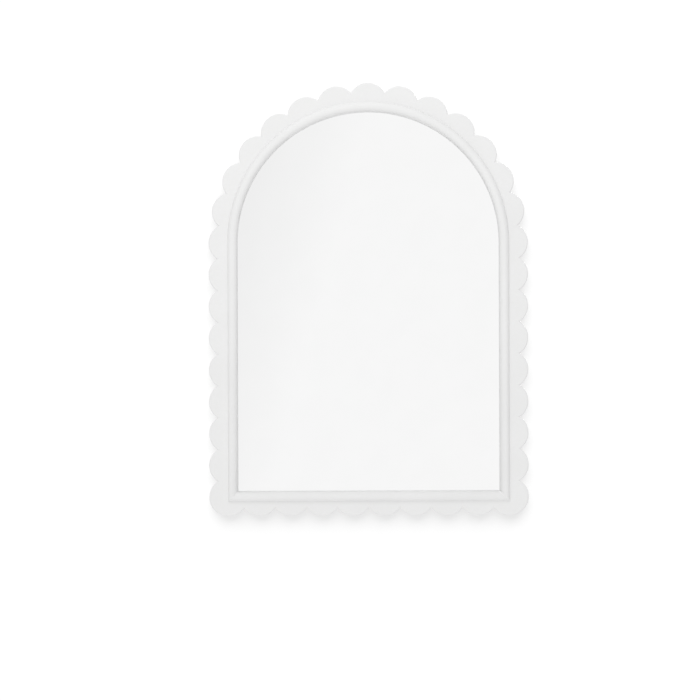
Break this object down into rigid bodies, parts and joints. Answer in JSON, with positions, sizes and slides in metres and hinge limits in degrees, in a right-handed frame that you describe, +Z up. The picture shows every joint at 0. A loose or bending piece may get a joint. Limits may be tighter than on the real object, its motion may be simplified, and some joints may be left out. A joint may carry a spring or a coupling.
{
  "type": "wall mirror",
  "caption": "Arched wall mirror with a flat scalloped frame, a half-round bead round the glass and swinging D-ring hangers on its back.",
  "frame": {"origin": "centre of the arch, on the plane of the mirror's back", "axes": "+X to the right seen from the front, +Y out of the back towards the wall, +Z up; the front faces -Y"},
  "size_m": [0.61, 0.0295, 0.8274],
  "materials": {
    "frame_paint": "medium-density fibreboard, sprayed with satin white paint",
    "bead_paint": "moulded wood bead under the same satin white paint",
    "silvered_glass": "clear float glass, silvered and painted on its back",
    "hardboard": "brown hardboard, smooth side out",
    "foam_tape": "white closed-cell foam tape",
    "block_rubber": "black rubber",
    "zinc_steel": "bright zinc-plated steel",
    "bumper_rubber": "dark grey moulded rubber"
  },
  "bodies": {
    "frame": {"scalloped_board": "frame_paint", "bead_arch": "bead_paint", "bead_left_leg": "bead_paint", "bead_right_leg": "bead_paint", "bead_bottom_rail": "bead_paint", "bead_pins": "zinc_steel", "mirror_glass": "silvered_glass", "left_setting_block": "block_rubber", "right_setting_block": "block_rubber", "left_foam_strip": "foam_tape", "right_foam_strip": "foam_tape", "bottom_foam_strip": "foam_tape", "arch_foam_strip": "foam_tape", "backing_board": "hardboard", "backing_screws": "zinc_steel", "left_hanger_strap": "zinc_steel", "right_hanger_strap": "zinc_steel", "hanger_screws": "zinc_steel", "left_bumper": "bumper_rubber", "right_bumper": "bumper_rubber"},
    "left_ring": {"left_d_ring": "zinc_steel"},
    "right_ring": {"right_d_ring": "zinc_steel"}
  },
  "joints": [
    {"name": "left_ring_hinge", "type": "hinge", "parent": "frame", "child": "left_ring", "pos_m": [-0.28054, 0.0026, 0.01387], "axis": [1, 0, 0], "range_deg": [0, 178]},
    {"name": "right_ring_hinge", "type": "hinge", "parent": "frame", "child": "right_ring", "pos_m": [0.28054, 0.0026, 0.01387], "axis": [1, 0, 0], "range_deg": [0, 178]}
  ]
}
